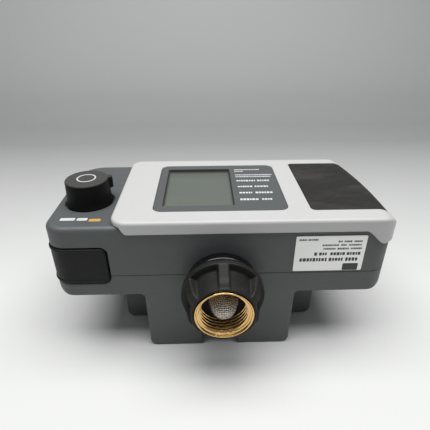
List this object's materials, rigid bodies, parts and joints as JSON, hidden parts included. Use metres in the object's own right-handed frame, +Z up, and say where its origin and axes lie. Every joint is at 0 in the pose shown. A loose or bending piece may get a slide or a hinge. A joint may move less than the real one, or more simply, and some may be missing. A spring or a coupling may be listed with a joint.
{
  "type": "irrigation timer",
  "caption": "Battery tap timer with display, dial and battery drawer, a ribbed swivel hose inlet with a mesh filter, and a row of threaded hose outlets",
  "frame": {"origin": "centre of the overall box's footprint, on the surface that the timer lies on", "axes": "+X along the control box's long side, away from the dial; +Y from the inlet to the outlets; +Z up, the way the display faces"},
  "size_m": [0.195, 0.1342, 0.1026],
  "materials": {
    "housing_grey": "fine-textured moulded plastic",
    "bezel_white": "satin moulded plastic",
    "panel_grey": "satin printed panel",
    "end_panel_black": "matte, dusty and scuffed",
    "black_plastic": "satin moulded plastic",
    "gloss_black": "gloss moulded plastic",
    "collar_black": "fine-textured glass-filled plastic",
    "rubber": "matte",
    "inner_plastic": "natural moulded plastic",
    "lcd": "satin polariser film",
    "lens": "clear",
    "label_white": "coated paper",
    "mark_white": "printed",
    "board_green": "solder resist",
    "brass": "turned",
    "steel": "plain",
    "copper": "enamelled wire",
    "cell_jacket": "printed film"
  },
  "bodies": {
    "housing": {"front_housing": "housing_grey", "rear_housing": "housing_grey", "housing_seal_long": "rubber", "housing_seal_short": "rubber", "bezel_plate": "bezel_white", "end_panel": "end_panel_black", "display_panel": "panel_grey", "lcd_lens": "lens", "lcd_module": "lcd", "label": "label_white", "circuit_board": "board_green", "dial_seal": "rubber", "dial_encoder": "inner_plastic", "battery_bay": "inner_plastic", "inlet_neck": "gloss_black", "neck_seal": "rubber", "water_manifold": "inner_plastic", "housing_screw_1": "steel", "diaphragm_1": "rubber", "valve_bonnet_1": "inner_plastic", "solenoid_coil_1": "copper", "outlet_1": "black_plastic", "housing_screw_2": "steel", "diaphragm_2": "rubber", "valve_bonnet_2": "inner_plastic", "solenoid_coil_2": "copper", "outlet_2": "black_plastic", "housing_screw_3": "steel", "diaphragm_3": "rubber", "valve_bonnet_3": "inner_plastic", "solenoid_coil_3": "copper", "outlet_3": "black_plastic", "housing_screw_4": "steel", "diaphragm_4": "rubber", "valve_bonnet_4": "inner_plastic", "solenoid_coil_4": "copper", "outlet_4": "black_plastic"},
    "inlet_swivel": {"swivel_collar": "collar_black", "brass_insert": "brass", "hose_washer": "rubber", "filter_screen": "steel"},
    "dial_carrier": {"dial_thrust_collar": "steel"},
    "dial": {"dial_knob": "black_plastic", "dial_mark": "mark_white", "dial_shaft": "steel"},
    "battery_drawer": {"battery_door": "black_plastic", "battery_tray": "inner_plastic", "contact_strip_near": "steel", "contact_strip_far": "steel", "battery_cell_1": "cell_jacket", "battery_cell_2": "cell_jacket", "battery_cell_3": "cell_jacket", "battery_cell_4": "cell_jacket"},
    "valve_plunger_1": {"plunger_1": "steel"},
    "valve_plunger_2": {"plunger_2": "steel"},
    "valve_plunger_3": {"plunger_3": "steel"},
    "valve_plunger_4": {"plunger_4": "steel"}
  },
  "joints": [
    {"name": "inlet_swivel_turn", "type": "hinge", "parent": "housing", "child": "inlet_swivel", "pos_m": [-0.0002, -0.05695, 0.0509], "axis": [0, 1, 0], "continuous": true},
    {"name": "dial_press", "type": "slide", "parent": "housing", "child": "dial_carrier", "axis": [0, 0, -1], "range_m": [0, 0.001], "stiffness_N_per_m": 600, "springref_m": -0.0008},
    {"name": "dial_turn", "type": "hinge", "parent": "dial_carrier", "child": "dial", "pos_m": [-0.0779, -0.00645, 0.09], "axis": [0, 0, 1], "continuous": true},
    {"name": "battery_drawer_slide", "type": "slide", "parent": "housing", "child": "battery_drawer", "axis": [-1, 0, 0], "range_m": [0, 0.064]},
    {"name": "valve_1_lift", "type": "slide", "parent": "housing", "child": "valve_plunger_1", "axis": [0, 0, 1], "range_m": [0, 0.002], "stiffness_N_per_m": 300, "springref_m": -0.001},
    {"name": "valve_2_lift", "type": "slide", "parent": "housing", "child": "valve_plunger_2", "axis": [0, 0, 1], "range_m": [0, 0.002], "stiffness_N_per_m": 300, "springref_m": -0.001},
    {"name": "valve_3_lift", "type": "slide", "parent": "housing", "child": "valve_plunger_3", "axis": [0, 0, 1], "range_m": [0, 0.002], "stiffness_N_per_m": 300, "springref_m": -0.001},
    {"name": "valve_4_lift", "type": "slide", "parent": "housing", "child": "valve_plunger_4", "axis": [0, 0, 1], "range_m": [0, 0.002], "stiffness_N_per_m": 300, "springref_m": -0.001}
  ]
}
